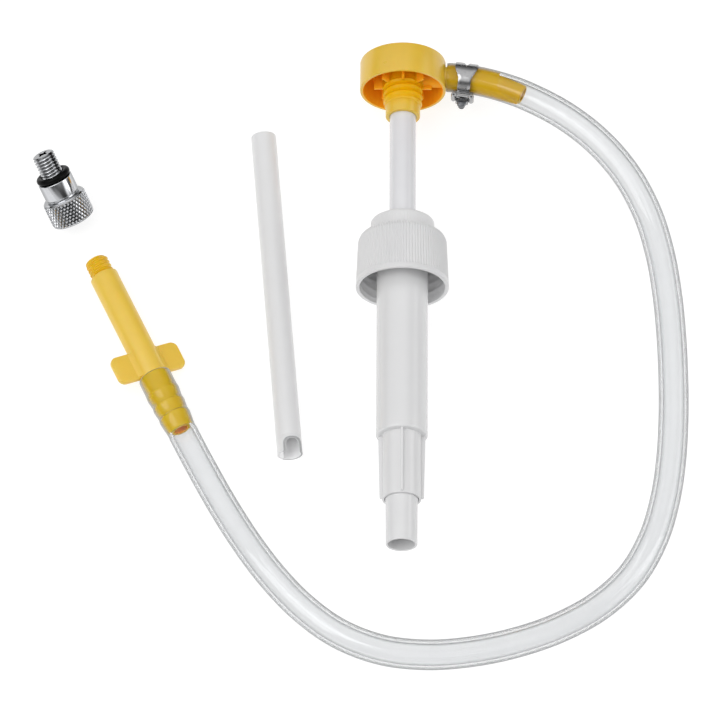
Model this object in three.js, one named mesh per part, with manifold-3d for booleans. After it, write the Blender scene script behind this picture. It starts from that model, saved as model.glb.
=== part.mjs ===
// Hand-operated fluid transfer pump kit: a plunger pump with a bottle cap, a clear
// delivery hose with a winged threaded end, a threaded metal fill fitting and a dip tube.
// Units are millimetres, +Z is up, the kit lies on the plane z = 0.
import * as THREE from 'three';
import { mergeVertices } from 'three/addons/utils/BufferGeometryUtils.js';
import Module from 'manifold-3d';

const wasm = await Module();
wasm.setup();

// ---------------------------------------------------------------- driving dimensions
const ORIGIN = [-35.7, 20.62, 0];     // layout point that becomes the frame's origin
const STROKE = 65;                    // plunger stroke
// pump: distances s run along its axis from the dip tube socket towards the head
const PUMP_FOOT = [18.14, -100.8, 22.42]; // axis point at s = 0 in the layout
const PUMP_TILT = 0.666;              // degrees the axis falls towards the head
const PUMP_YAW = 0.378;               // degrees the axis swings towards +X
const HEAD_R = 19.6, HEAD_WALL = 1.5, HEAD_RIM_S = 228, HEAD_TOP_S = 242.7;
const BOSS_R = 8.4, BOSS_CREST_R = 9.25, COLLAR_R = 7.87, COLLAR_S = 214.2;
const NOZZLE_S = 235.2, NOZZLE_R = 4.62, NOZZLE_BORE_R = 3.1, NOZZLE_LEN = 36.5;
const STEM_R = 6.0, STEM_BORE_R = 4.0, STEM_TOP_S = 222.0, STEM_END_S = 129.7;
const PISTON_R = 10.1, PISTON_S0 = 130, PISTON_S1 = 145.5;
const BARREL_R = 11.5, BARREL_BORE_R = 10.5, BARREL_S0 = 52.3, NECK_TOP_S = 157;
const FOOT_R = 8.65, FOOT_BORE_R = 7.6, FOOT_S0 = 21.6;
const FLANGE_R = 17.8, FLANGE_S0 = 147.9, FLANGE_S1 = 149.3;
const CHAPLET_R = 14.4, CHAPLET_TOP_S = 159.6;
const CAP_RIM_R = 20.95, CAP_TOP_R = 20.0, CAP_RIM_S = 126.5, CAP_TOP_S = 151.1;
const SOCKET_R = 6.95, SOCKET_BORE_R = 5.95, SOCKET_DEPTH = 20;
const BALL_IN_R = 3.2, BALL_OUT_R = 2.8;
// hose
const HOSE_R = 6.7, HOSE_BORE_R = 5.15, HOSE_STEPS = 44, HOSE_SIDES = 10;
const CLAMP_AT = 9.0, CLAMP_IN_R = 7.2, CLAMP_OUT_R = 7.8, CLAMP_W = 9;
// hose-end adapter: distances a run from its hose end of the body towards its thread
const AD_SHOULDER = [-115.85, 38.4, 7.5], AD_DIR = [-0.4279, 0.9038, 0];
const AD_BODY = 55.3, AD_THREAD = 8.7, AD_BARB = 29.7, AD_R = 6.42, AD_THREAD_R = 5.35;
const WING_SPAN = 33.4, WING_LEN = 13.7, WING_T = 2.4, WING_ROLL = 16;
// barbs of the adapter's spigot: [start, end, crest radius], and the sleeve of hose over them
const SPIGOT_R = 5.55, BARBS = [[-29.7, -21.6, 5.25], [-21.6, -15.4, 5.5], [-15.4, -9.4, 5.7]];
const SLEEVE = [[-33, 6.7], [-29.7, 6.75], [-21.6, 7.1], [-15.4, 7.3], [-9.4, 7.45], [-0.35, 7.4]];
const SLEEVE_BORE = [[-33.5, 5.15], [-29.9, 5.6], [-21.6, 5.85], [-9.4, 6.0], [1, 6.0]];
// metal fill fitting: distances f run from its knurled base towards its stud
const FIT_BASE = [-130.05, 68.02, 6.94], FIT_DIR = [-0.395, 0.604, 0.692];
const KNURL_R = 10.1, KNURL_L = 12, BAND_R = 8.05, BAND_TOP = 21.2, STUD_R = 4.9, FIT_LEN = 34.2;
// dip tube
const DIP_END = [-31.11, -49.58, 5.7], DIP_DIR = [-0.08151, 0.99667, 0];
const DIP_LEN = 161.1, DIP_R = 5.7, DIP_BORE_R = 4.7, DIP_CUT = 3.5, DIP_CUT_FLAT = 3.4, DIP_CUT_LEN = 6.7, DIP_CUT_TURN = 22;

const GAP = 0.3;                      // clearance between neighbouring pieces

// route of the hose's centre line, from the head's wall to the adapter's body
const HOSE_ROUTE = [
  [39.34, 134.45, 19.67], [44.32, 134.13, 19.67], [49.28, 133.48, 19.67], [56.14, 132.08, 19.67],
  [64.76, 129.51, 19.67], [75.85, 124.94, 19.67], [93.33, 114.79, 19.21], [108.86, 102.0, 17.25],
  [121.57, 86.65, 13.97], [130.59, 68.91, 10.43], [135.92, 49.59, 7.83], [138.67, 29.57, 6.81],
  [139.93, 9.37, 6.75], [140.29, -10.87, 6.75], [139.86, -31.11, 6.75], [138.35, -51.29, 6.75],
  [135.17, -71.27, 6.75], [129.39, -90.65, 6.75], [119.66, -108.34, 6.75], [105.37, -122.58, 6.75],
  [88.04, -132.98, 6.75], [69.15, -140.2, 6.75], [49.43, -144.69, 6.75], [29.27, -146.3, 6.75],
  [9.22, -143.88, 6.75], [-9.41, -136.14, 6.75], [-25.38, -123.77, 6.75], [-38.83, -108.67, 6.75],
  [-50.44, -92.09, 6.75], [-60.76, -74.68, 6.77], [-70.23, -56.85, 6.95], [-79.18, -38.95, 7.35],
  [-85.55, -25.61, 7.48], [-92.188, -11.58, 7.5],
].map((p) => new THREE.Vector3(...p));
const hoseLine = new THREE.CatmullRomCurve3(HOSE_ROUTE, false, 'centripetal');
hoseLine.arcLengthDivisions = 1200;
const HOSE_LEN = hoseLine.getLength();

// ---------------------------------------------------------------- helpers
const rad = THREE.MathUtils.degToRad;

// indexed, merged, without collapsed triangles, faces out
function tidy(geometry) {
  let g = geometry.clone();
  for (const name of Object.keys(g.attributes)) if (name !== 'position') g.deleteAttribute(name);
  g = mergeVertices(g, 1e-4);
  const pos = g.attributes.position, idx = g.index.array;
  const tri = [];
  for (let i = 0; i < idx.length; i += 3) {
    const [a, b, c] = [idx[i], idx[i + 1], idx[i + 2]];
    if (a !== b && b !== c && c !== a) tri.push(a, b, c);
  }
  let vol = 0;
  const A = new THREE.Vector3(), B = new THREE.Vector3(), C = new THREE.Vector3();
  for (let i = 0; i < tri.length; i += 3) {
    A.fromBufferAttribute(pos, tri[i]);
    B.fromBufferAttribute(pos, tri[i + 1]);
    C.fromBufferAttribute(pos, tri[i + 2]);
    vol += A.dot(B.cross(C)) / 6;
  }
  if (vol < 0) for (let i = 0; i < tri.length; i += 3) [tri[i], tri[i + 1]] = [tri[i + 1], tri[i]];
  g.setIndex(tri);
  return g;
}
function toSolid(geometry) {
  const g = tidy(geometry);
  return new wasm.Manifold(new wasm.Mesh({
    numProp: 3,
    vertProperties: new Float32Array(g.attributes.position.array),
    triVerts: new Uint32Array(g.index.array),
  }));
}
function toGeometry(solid) {
  const m = solid.getMesh(), n = m.numProp, count = m.vertProperties.length / n;
  const p = new Float32Array(count * 3);
  for (let i = 0; i < count; i++) for (let k = 0; k < 3; k++) p[3 * i + k] = m.vertProperties[n * i + k];
  const g = new THREE.BufferGeometry();
  g.setAttribute('position', new THREE.BufferAttribute(p, 3));
  g.setIndex(Array.from(m.triVerts));
  return g;
}
function join(first, ...rest) {
  let s = toSolid(first);
  for (const g of rest) s = s.add(toSolid(g));
  return toGeometry(s);
}
function cut(body, ...tools) {
  let s = toSolid(body);
  for (const g of tools) s = s.subtract(toSolid(g));
  return toGeometry(s);
}
// revolve [radius, distance along Y] pairs about Y; a ring section closes on itself
function turned(profile, segments, ring = true) {
  const pts = profile.map(([r, y]) => new THREE.Vector2(r, y));
  if (ring) pts.push(pts[0].clone());
  return new THREE.LatheGeometry(pts, segments);
}
function circle(radius, sides, turn = 0) {
  const s = new THREE.Shape();
  for (let i = 0; i < sides; i++) {
    const a = (2 * Math.PI * i) / sides + turn;
    if (i === 0) s.moveTo(radius * Math.cos(a), radius * Math.sin(a));
    else s.lineTo(radius * Math.cos(a), radius * Math.sin(a));
  }
  s.closePath();
  return s;
}
// part of a curve, from arc length l0 to l1, seen through a matrix
class Stretch extends THREE.Curve {
  constructor(line, l0, l1, lead = [], matrix = new THREE.Matrix4()) {
    super();
    Object.assign(this, { line, l0, l1, lead, matrix, total: line.getLength() });
    this.leadLen = lead.length === 2 ? lead[0].distanceTo(lead[1]) : 0;
  }
  getPoint(t, target = new THREE.Vector3()) {
    const l = t * (this.leadLen + this.l1 - this.l0);
    if (l < this.leadLen) return target.lerpVectors(this.lead[0], this.lead[1], l / this.leadLen);
    const u = Math.min(1, (this.l0 + l - this.leadLen) / this.total);
    return target.copy(this.line.getPointAt(u)).applyMatrix4(this.matrix);
  }
}
function swept(shape, path, steps) {
  return new THREE.ExtrudeGeometry(shape, { steps, extrudePath: path, bevelEnabled: false });
}
// a basis whose Y axis is dir; its Z axis points as nearly up as it can
function basisAlong(origin, dir) {
  const y = new THREE.Vector3(...dir).normalize();
  const x = new THREE.Vector3().crossVectors(y, new THREE.Vector3(0, 0, 1)).normalize();
  const z = new THREE.Vector3().crossVectors(x, y);
  return new THREE.Matrix4().makeBasis(x, y, z).setPosition(...origin);
}

// the adapter's frame: Y along it from its body's hose end, X across, Z up
function adapterFrame() {
  const dir = new THREE.Vector3(...AD_DIR).normalize();
  const bodyEnd = new THREE.Vector3(...AD_SHOULDER).addScaledVector(dir, -AD_BODY);
  return basisAlong(bodyEnd.toArray(), AD_DIR);
}

const root = new THREE.Group();
root.position.set(-ORIGIN[0], -ORIGIN[1], -ORIGIN[2]);
const YELLOW = { color: 0xdeb23c, roughness: 0.38, metalness: 0 };
const WHITE = { color: 0xe6e6e4, roughness: 0.45, metalness: 0 };
const CLEAR = { color: 0xdfe3e4, roughness: 0.15, metalness: 0, transparent: true, opacity: 0.4 };
const STEEL = { color: 0xb9bcc0, roughness: 0.3, metalness: 1 };
const CHROME = { color: 0xd2d5d9, roughness: 0.12, metalness: 1 };
const BLACK = { color: 0x111112, roughness: 0.6, metalness: 0 };
const GREY = { color: 0x77797c, roughness: 0.7, metalness: 0 };
function node(parent, name, geometry, look) {
  const g = tidy(geometry);
  g.computeVertexNormals();
  const mesh = new THREE.Mesh(g, new THREE.MeshStandardMaterial(look));
  mesh.name = name;
  parent.add(mesh);
  return mesh;
}

// ---------------------------------------------------------------- pump
const pump = new THREE.Group();
pump.position.set(...PUMP_FOOT);
pump.rotation.set(-rad(PUMP_TILT), 0, -rad(PUMP_YAW), 'ZXY');
root.add(pump);
pump.updateMatrix();
const toPump = pump.matrix.clone().invert();

// head: inverted cup, ribs, threaded boss that takes the stem, outlet duct and curved nozzle
{
  const cup = turned([
    [0, HEAD_TOP_S - 2], [HEAD_R - HEAD_WALL, HEAD_TOP_S - 2], [HEAD_R - HEAD_WALL, HEAD_RIM_S],
    [HEAD_R, HEAD_RIM_S], [HEAD_R, HEAD_TOP_S - 0.5], [HEAD_R - 0.5, HEAD_TOP_S], [0, HEAD_TOP_S],
  ], 40, false);
  const bossProfile = [[0, COLLAR_S], [COLLAR_R, COLLAR_S], [COLLAR_R, 219.6], [BOSS_R, 219.9]];
  for (const s of [221.4, 224.9]) {
    bossProfile.push([BOSS_R, s - 0.8], [BOSS_CREST_R, s - 0.2], [BOSS_CREST_R, s + 0.2], [BOSS_R, s + 0.8]);
  }
  bossProfile.push([BOSS_R, HEAD_TOP_S - 1], [0, HEAD_TOP_S - 1]);
  const boss = turned(bossProfile, 24, false);
  const ribs = [];
  for (let i = 0; i < 8; i++) {
    const rib = new THREE.BoxGeometry(6.2, HEAD_TOP_S - 1 - 229.2, 1.2);
    rib.translate(7 + 3.1, (HEAD_TOP_S - 1 + 229.2) / 2, 0);
    rib.rotateY((i * Math.PI) / 4);
    ribs.push(rib);
  }
  const start = new THREE.Vector3(6, NOZZLE_S, 0);
  const wall = hoseLine.getPointAt(0).applyMatrix4(toPump);
  const duct = new Stretch(hoseLine, 0, NOZZLE_LEN, [start, wall], toPump);
  const inner = new Stretch(hoseLine, 0, NOZZLE_LEN + 2, [new THREE.Vector3(0, NOZZLE_S, 0), wall], toPump);
  const outer = swept(circle(NOZZLE_R, 14), duct, 10);
  const bore = swept(circle(NOZZLE_BORE_R, 10), inner, 10);
  const socket = turned([[0, COLLAR_S - 1], [6.25, COLLAR_S - 1], [6.25, STEM_TOP_S + 0.3], [0, STEM_TOP_S + 0.3]], 24, false);
  const chamber = turned([[0, STEM_TOP_S], [3.6, STEM_TOP_S], [3.6, NOZZLE_S + 3.2], [0, NOZZLE_S + 3.2]], 16, false);
  node(pump, 'pump_head', cut(join(cup, boss, ...ribs, outer), socket, chamber, bore), YELLOW);
}
// stem: hollow rod with the discharge seat in its top
node(pump, 'plunger_stem', turned([
  [STEM_BORE_R, STEM_END_S], [STEM_R, STEM_END_S], [STEM_R, STEM_TOP_S], [2.0, STEM_TOP_S],
  [2.0, STEM_TOP_S - 1.6], [STEM_BORE_R, STEM_TOP_S - 3.2],
], 24), WHITE);
{
  const ball = new THREE.SphereGeometry(BALL_OUT_R, 14, 10);
  ball.translate(0, STEM_TOP_S + Math.sqrt(BALL_OUT_R ** 2 - 4) + GAP, 0);
  node(pump, 'discharge_ball', ball, STEEL);
}
// piston on the stem's lower end, with a groove for its cup seal
node(pump, 'piston', turned([
  [STEM_R + GAP, PISTON_S0], [9.6, PISTON_S0], [PISTON_R, PISTON_S0 + 0.6], [PISTON_R, 134], [8.3, 134],
  [8.3, 140], [PISTON_R, 140], [PISTON_R, PISTON_S1 - 0.6], [9.6, PISTON_S1], [STEM_R + GAP, PISTON_S1],
], 28), WHITE);
node(pump, 'piston_cup', turned([
  [8.62, 134.3], [9.9, 134.3], [10.25, 139.1], [9.95, 139.6], [9.45, 136.6], [9.15, 136.6], [8.95, 139.6], [8.62, 139.6],
], 28), GREY);
// barrel with its flange, neck, stepped foot and four fins
{
  const tube = turned([
    [FOOT_BORE_R, FOOT_S0], [FOOT_R, FOOT_S0], [FOOT_R, BARREL_S0], [BARREL_R - 0.3, BARREL_S0], [BARREL_R, BARREL_S0 + 0.5],
    [BARREL_R, FLANGE_S0], [FLANGE_R, FLANGE_S0], [FLANGE_R, FLANGE_S1], [11.9, FLANGE_S1], [11.9, NECK_TOP_S],
    [BARREL_BORE_R, NECK_TOP_S], [BARREL_BORE_R, 54.2], [FOOT_BORE_R, 54.2],
  ], 32);
  const fins = [];
  for (let i = 0; i < 4; i++) {
    const s = new THREE.Shape();
    s.moveTo(8.2, FOOT_S0 + 0.6);
    s.lineTo(9.5, FOOT_S0 + 0.6);
    s.lineTo(10.35, BARREL_S0 + 0.3);
    s.lineTo(8.2, BARREL_S0 + 0.3);
    s.closePath();
    const fin = new THREE.ExtrudeGeometry(s, { depth: 1.2, bevelEnabled: false });
    fin.translate(0, 0, -0.6);
    fin.rotateY((i * Math.PI) / 2);
    fins.push(fin);
  }
  node(pump, 'pump_barrel', join(tube, ...fins), WHITE);
}
// collar that snaps over the barrel's neck and guides the stem
node(pump, 'lock_collar', turned([
  [12.2, CAP_TOP_S + GAP], [CHAPLET_R, CAP_TOP_S + GAP], [CHAPLET_R, CHAPLET_TOP_S - 0.7], [CHAPLET_R - 0.7, CHAPLET_TOP_S],
  [9.6, CHAPLET_TOP_S], [9.6, 148.1], [6.35, 148.1], [6.35, 146.3], [10.2, 146.3], [10.2, NECK_TOP_S + GAP], [12.2, NECK_TOP_S + GAP],
], 32), WHITE);
// bottle cap with inner thread ridges
{
  const inside = (s) => 19.2 - (0.6 * (s - CAP_RIM_S)) / 23;
  const p = [[12.3, CAP_TOP_S], [18.4, CAP_TOP_S], [19.6, CAP_TOP_S - 0.6], [CAP_TOP_R, CAP_TOP_S - 1.8],
    [CAP_RIM_R, CAP_RIM_S], [inside(CAP_RIM_S), CAP_RIM_S]];
  for (const s of [130, 134.2, 138.4]) p.push([inside(s - 0.9), s - 0.9], [18.0, s - 0.25], [18.0, s + 0.25], [inside(s + 0.9), s + 0.9]);
  p.push([18.6, 149.6], [12.3, 149.6]);
  node(pump, 'screw_cap', turned(p, 40), WHITE);
}
node(pump, 'cap_gasket', turned([[12.0, 146.2], [17.8, 146.2], [17.8, 147.6], [12.0, 147.6]], 28), GREY);
// foot valve: dip tube socket below, ball seat and chamber above
node(pump, 'foot_valve', turned([
  [SOCKET_BORE_R, 0], [SOCKET_R - 0.2, 0], [SOCKET_R, 0.3], [7.1, 20.9], [7.3, 21.3], [7.3, 34.6], [4.6, 34.6], [4.6, 27.2],
  [2.2, 26], [2.2, 24.6], [4.2, 23.4], [4.2, SOCKET_DEPTH], [SOCKET_BORE_R, SOCKET_DEPTH],
], 24), WHITE);
{
  const ball = new THREE.SphereGeometry(BALL_IN_R, 14, 10);
  ball.translate(0, 26 + Math.sqrt(BALL_IN_R ** 2 - 2.2 ** 2) + GAP, 0);
  node(pump, 'inlet_ball', ball, STEEL);
  const disc = turned([[1.5, 35.2], [7.2, 35.2], [7.2, 38], [1.5, 38]], 24);
  const holes = [];
  for (let i = 0; i < 4; i++) {
    const h = new THREE.CylinderGeometry(1.4, 1.4, 6, 10);
    h.translate(4.5, 36.6, 0);
    h.rotateY((i * Math.PI) / 2 + Math.PI / 4);
    holes.push(h);
  }
  node(pump, 'ball_cage', cut(disc, ...holes), WHITE);
}
// return spring between the barrel's ledge and the piston
{
  const turns = 7.5, dead = 0.8, wire = 0.6, r = 8.8, s0 = 54.2 + GAP + wire, s1 = PISTON_S0 - GAP - wire;
  class Coil extends THREE.Curve {
    getPoint(t, target = new THREE.Vector3()) {
      const n = t * turns, pitch = 1.35;
      const a = dead * pitch, b = (turns - dead) ;
      let s;
      if (n < dead) s = s0 + n * pitch;
      else if (n > b) s = s1 - (turns - n) * pitch;
      else s = s0 + a + ((n - dead) / (b - dead)) * (s1 - s0 - 2 * a);
      return target.set(r * Math.cos(2 * Math.PI * n), s, r * Math.sin(2 * Math.PI * n));
    }
  }
  node(pump, 'return_spring', swept(circle(wire, 5), new Coil(), 90), STEEL);
}

// ---------------------------------------------------------------- hose and its clamp
{
  const tube = swept(circle(HOSE_R, HOSE_SIDES), new Stretch(hoseLine, 0.35, HOSE_LEN - 3), HOSE_STEPS);
  const sleeve = turned([[0, SLEEVE[0][0]], ...SLEEVE.map(([a, r]) => [r, a]), [0, -0.35]], 20, false);
  const mouth = hoseLine.getPointAt(0);
  const before = mouth.clone().addScaledVector(hoseLine.getTangentAt(0), -2);
  const bore = swept(circle(HOSE_BORE_R, HOSE_SIDES), new Stretch(hoseLine, 0, HOSE_LEN - 31, [before, mouth]), HOSE_STEPS);
  const reach = turned([[0, SLEEVE_BORE[0][0]], ...SLEEVE_BORE.map(([a, r]) => [r, a]), [0, 1]], 20, false);
  const frame = adapterFrame();
  sleeve.applyMatrix4(frame);
  reach.applyMatrix4(frame);
  node(root, 'delivery_hose', cut(join(tube, sleeve), bore, reach), CLEAR);

  // clamp frame: X along the hose, Y out towards the foot of the pump, Z up
  const at = hoseLine.getPointAt(CLAMP_AT / HOSE_LEN), t = hoseLine.getTangentAt(CLAMP_AT / HOSE_LEN);
  const side = new THREE.Vector3(t.y, -t.x, 0).normalize();
  const up = new THREE.Vector3().crossVectors(t, side).negate();
  const clamp = new THREE.Group();
  new THREE.Matrix4().makeBasis(t, side.clone(), up.clone().negate()).setPosition(at)
    .decompose(clamp.position, clamp.quaternion, clamp.scale);
  root.add(clamp);
  // in this frame +Z points down, so a point u above the hose line is at z = -u
  const band = turned([[CLAMP_IN_R, -CLAMP_W / 2], [CLAMP_OUT_R, -CLAMP_W / 2], [CLAMP_OUT_R, CLAMP_W / 2], [CLAMP_IN_R, CLAMP_W / 2]], 28);
  band.rotateZ(-Math.PI / 2);
  node(clamp, 'clamp_band', band, STEEL);
  const profile = new THREE.Shape();
  profile.moveTo(-5, 8.15);
  profile.lineTo(5, 8.15);
  profile.lineTo(5, 11.2);
  profile.lineTo(3.9, 12.8);
  profile.lineTo(2.95, 12.8);
  for (let i = 0; i <= 10; i++) {
    const a = Math.PI * (i / 10);
    profile.lineTo(2.95 * Math.cos(a), 12.8 - 2.95 * Math.sin(a));
  }
  profile.lineTo(-3.9, 12.8);
  profile.lineTo(-5, 11.2);
  profile.closePath();
  const housing = new THREE.ExtrudeGeometry(profile, { depth: 6.5, bevelEnabled: false });
  housing.translate(0, 0, -3);
  node(clamp, 'clamp_housing', housing, STEEL);
  const screw = turned([[0, -4.5], [1.9, -4.5], [2.1, -4.2], [2.1, 0.2], [2.5, 0.4], [2.5, 2.0], [2.2, 2.3], [0, 2.3]], 16, false);
  const slot = new THREE.BoxGeometry(8, 1.2, 0.7);
  slot.translate(0, 2.3, 0);
  const screwCut = cut(screw, slot);
  screwCut.rotateX(-Math.PI / 2);
  screwCut.translate(0, 12.8, 0);
  node(clamp, 'clamp_screw', screwCut, STEEL);
}

// ---------------------------------------------------------------- hose-end adapter
{
  const group = new THREE.Group();
  adapterFrame().decompose(group.position, group.quaternion, group.scale);
  root.add(group);
  const top = AD_BODY + AD_THREAD;
  const p = [[3.2, -AD_BARB], [4.3, -AD_BARB]];
  for (const [a0, a1, r] of BARBS) p.push([r - 0.5, a0 + 0.4], [r, a1 - 0.3], [r - 0.4, a1]);
  p.push([SPIGOT_R, -8.6], [SPIGOT_R, 0], [AD_R, 0], [AD_R, AD_BODY - 0.4], [AD_R - 0.4, AD_BODY], [4.75, AD_BODY]);
  for (let i = 0; i < 4; i++) {
    const c = AD_BODY + 1.5 + i * 1.9;
    p.push([4.75, c - 0.7], [AD_THREAD_R, c - 0.15], [AD_THREAD_R, c + 0.15], [4.75, c + 0.7]);
  }
  p.push([4.75, top - 0.4], [4.5, top], [3.2, top], [3.2, 1]);
  const body = turned(p, 20);
  const wing = new THREE.Shape();
  const w = WING_SPAN / 2, c = 3.2;
  wing.moveTo(-w + c, 0);
  wing.lineTo(w - c, 0);
  wing.quadraticCurveTo(w, 0, w, c);
  wing.lineTo(w, WING_LEN - c);
  wing.quadraticCurveTo(w, WING_LEN, w - c, WING_LEN);
  wing.lineTo(-w + c, WING_LEN);
  wing.quadraticCurveTo(-w, WING_LEN, -w, WING_LEN - c);
  wing.lineTo(-w, c);
  wing.quadraticCurveTo(-w, 0, -w + c, 0);
  const plate = new THREE.ExtrudeGeometry(wing, { depth: WING_T, bevelEnabled: false, curveSegments: 3 });
  plate.translate(0, 0, -WING_T / 2);
  plate.rotateY(rad(WING_ROLL));
  const through = turned([[0, -AD_BARB - 1], [3.1, -AD_BARB - 1], [3.1, top + 1], [0, top + 1]], 20, false);
  node(group, 'hose_end_adapter', cut(join(body, plate), through), YELLOW);
}

// ---------------------------------------------------------------- metal fill fitting
{
  const group = new THREE.Group();
  basisAlong(FIT_BASE, FIT_DIR).decompose(group.position, group.quaternion, group.scale);
  root.add(group);
  const body = turned([
    [1.6, FIT_LEN], [STUD_R - 0.6, FIT_LEN], [STUD_R, FIT_LEN - 0.6], [STUD_R, BAND_TOP], [BAND_R, BAND_TOP], [BAND_R, 13.4],
    [7.6, 13.2], [7.6, 12.4], [9.5, KNURL_L], [KNURL_R, KNURL_L - 0.6], [KNURL_R, 0.5], [9.6, 0], [5.6, 0], [5.6, 9.5], [1.6, 9.5],
  ], 28);
  const slot = new THREE.BoxGeometry(1.1, 9, 2.0);
  slot.translate(0, FIT_LEN - 4, STUD_R);
  slot.rotateY(rad(30));
  node(group, 'fitting_body', cut(body, slot), CHROME);
  const ring = [];
  for (let i = 0; i < 8; i++) ring.push([6.6 + 1.4 * Math.cos((i * Math.PI) / 4), BAND_TOP + 1.65 + 1.4 * Math.sin((i * Math.PI) / 4)]);
  node(group, 'fitting_o_ring', turned(ring, 24), BLACK);
  node(group, 'fitting_washer', turned([[3.0, 8.0], [5.2, 8.0], [5.2, 9.2], [3.0, 9.2]], 20), BLACK);
}

// ---------------------------------------------------------------- dip tube
{
  const group = new THREE.Group();
  basisAlong(DIP_END, DIP_DIR).decompose(group.position, group.quaternion, group.scale);
  root.add(group);
  const tube = turned([[DIP_BORE_R, 0], [DIP_R, 0], [DIP_R, DIP_LEN], [DIP_BORE_R, DIP_LEN]], 28);
  // the lower end is scooped: a cut level with the axis that curves out, facing up and to one side
  const scoop = new THREE.Shape();
  scoop.moveTo(-1, DIP_CUT);
  scoop.lineTo(DIP_CUT_FLAT, DIP_CUT);
  for (let i = 1; i <= 8; i++) {
    const t = (i * Math.PI) / 16;
    scoop.lineTo(DIP_CUT_FLAT + (DIP_CUT_LEN - DIP_CUT_FLAT) * Math.sin(t), DIP_CUT + (DIP_R + 0.3 - DIP_CUT) * (1 - Math.cos(t)));
  }
  scoop.lineTo(DIP_CUT_LEN, DIP_R + 4);
  scoop.lineTo(-1, DIP_R + 4);
  const block = new THREE.ExtrudeGeometry(scoop, { depth: 16, bevelEnabled: false });
  block.applyMatrix4(new THREE.Matrix4().makeBasis(new THREE.Vector3(0, 1, 0), new THREE.Vector3(0, 0, 1), new THREE.Vector3(1, 0, 0)));
  block.translate(-8, 0, 0);
  block.rotateY(rad(DIP_CUT_TURN));
  node(group, 'dip_tube', cut(tube, block), WHITE);
}

export default root;
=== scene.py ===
"""Fluid transfer pump kit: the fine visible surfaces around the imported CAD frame.

Shapes are written in millimetres in each group's own frame and placed in metres.
"""
import math

import bmesh
import bpy
import numpy as np
from mathutils import Matrix, Vector


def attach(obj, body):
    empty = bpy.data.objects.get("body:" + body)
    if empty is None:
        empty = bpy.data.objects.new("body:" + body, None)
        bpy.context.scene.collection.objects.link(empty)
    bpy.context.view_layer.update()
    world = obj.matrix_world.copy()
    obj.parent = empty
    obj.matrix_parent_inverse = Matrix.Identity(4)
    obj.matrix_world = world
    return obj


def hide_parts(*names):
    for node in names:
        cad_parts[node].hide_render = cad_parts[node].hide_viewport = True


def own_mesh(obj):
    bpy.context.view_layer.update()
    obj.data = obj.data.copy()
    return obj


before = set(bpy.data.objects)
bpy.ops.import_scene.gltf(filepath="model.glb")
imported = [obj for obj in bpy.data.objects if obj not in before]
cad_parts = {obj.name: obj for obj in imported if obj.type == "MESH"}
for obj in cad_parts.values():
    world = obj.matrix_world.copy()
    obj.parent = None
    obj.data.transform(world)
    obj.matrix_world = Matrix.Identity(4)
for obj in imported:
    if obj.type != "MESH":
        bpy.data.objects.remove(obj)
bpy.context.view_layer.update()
MM = 0.001
TAU = 2 * math.pi

# ------------------------------------------------------------------ camera
cam_data = bpy.data.cameras.new("camera")
cam_data.lens = 250
cam_data.sensor_width = 36
cam_data.clip_end = 20
camera = bpy.data.objects.new("camera", cam_data)
camera.location = (0.0357, -1.00696, 2.02229)
camera.rotation_euler = (math.radians(26), 0, 0)
bpy.context.scene.collection.objects.link(camera)
bpy.context.scene.camera = camera


# ------------------------------------------------------------------ frames
def placed(origin, x, y, z):
    return Matrix(
        (
            (x[0], y[0], z[0], origin[0] * MM),
            (x[1], y[1], z[1], origin[1] * MM),
            (x[2], y[2], z[2], origin[2] * MM),
            (0, 0, 0, 1),
        )
    )


def along(origin, direction):
    y = Vector(direction).normalized()
    x = y.cross(Vector((0, 0, 1))).normalized()
    return placed(origin, x, y, x.cross(y))


PUMP_ROT = Matrix.Rotation(-math.radians(0.378), 3, "Z") @ Matrix.Rotation(
    -math.radians(0.666), 3, "X"
)
PUMP = placed((53.84, -121.42, 22.42), PUMP_ROT.col[0], PUMP_ROT.col[1], PUMP_ROT.col[2])
ADAPTER = along((-56.48657, -32.20132, 7.5), (-0.4279, 0.9038, 0))
FITTING = along((-94.35, 47.4, 6.94), (-0.395, 0.604, 0.692))
DIP = along((4.59, -70.2, 5.7), (-0.08151, 0.99667, 0))
CLAMP = placed(
    (83.998, 113.018, 19.67), (0.98845, -0.15157, 0), (-0.15157, -0.98845, 0), (0, 0, 1)
)
HERE = Matrix.Identity(4)


# ------------------------------------------------------------------ shape helpers
def to_object(name, verts, faces, m=HERE, smooth=32):
    """A closed mesh from points in millimetres in the frame m, faces turned outwards."""
    v = np.asarray(verts, dtype=float) * MM
    rot = np.array(m.to_3x3())
    v = v @ rot.T + np.array(m.translation)
    mesh = bpy.data.meshes.new(name)
    mesh.from_pydata(v.tolist(), [], faces)
    mesh.update()
    obj = bpy.data.objects.new(name, mesh)
    bpy.context.scene.collection.objects.link(obj)
    tidy(obj, smooth)
    return obj


def tidy(obj, smooth=32, dist=2e-6):
    bm = bmesh.new()
    bm.from_mesh(obj.data)
    bmesh.ops.remove_doubles(bm, verts=bm.verts, dist=dist)
    bmesh.ops.recalc_face_normals(bm, faces=bm.faces)
    if bm.calc_volume(signed=True) < 0:
        bmesh.ops.reverse_faces(bm, faces=bm.faces)
    bm.to_mesh(obj.data)
    bm.free()
    obj.data.shade_smooth()
    obj.data.set_sharp_from_angle(angle=math.radians(smooth))


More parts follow.
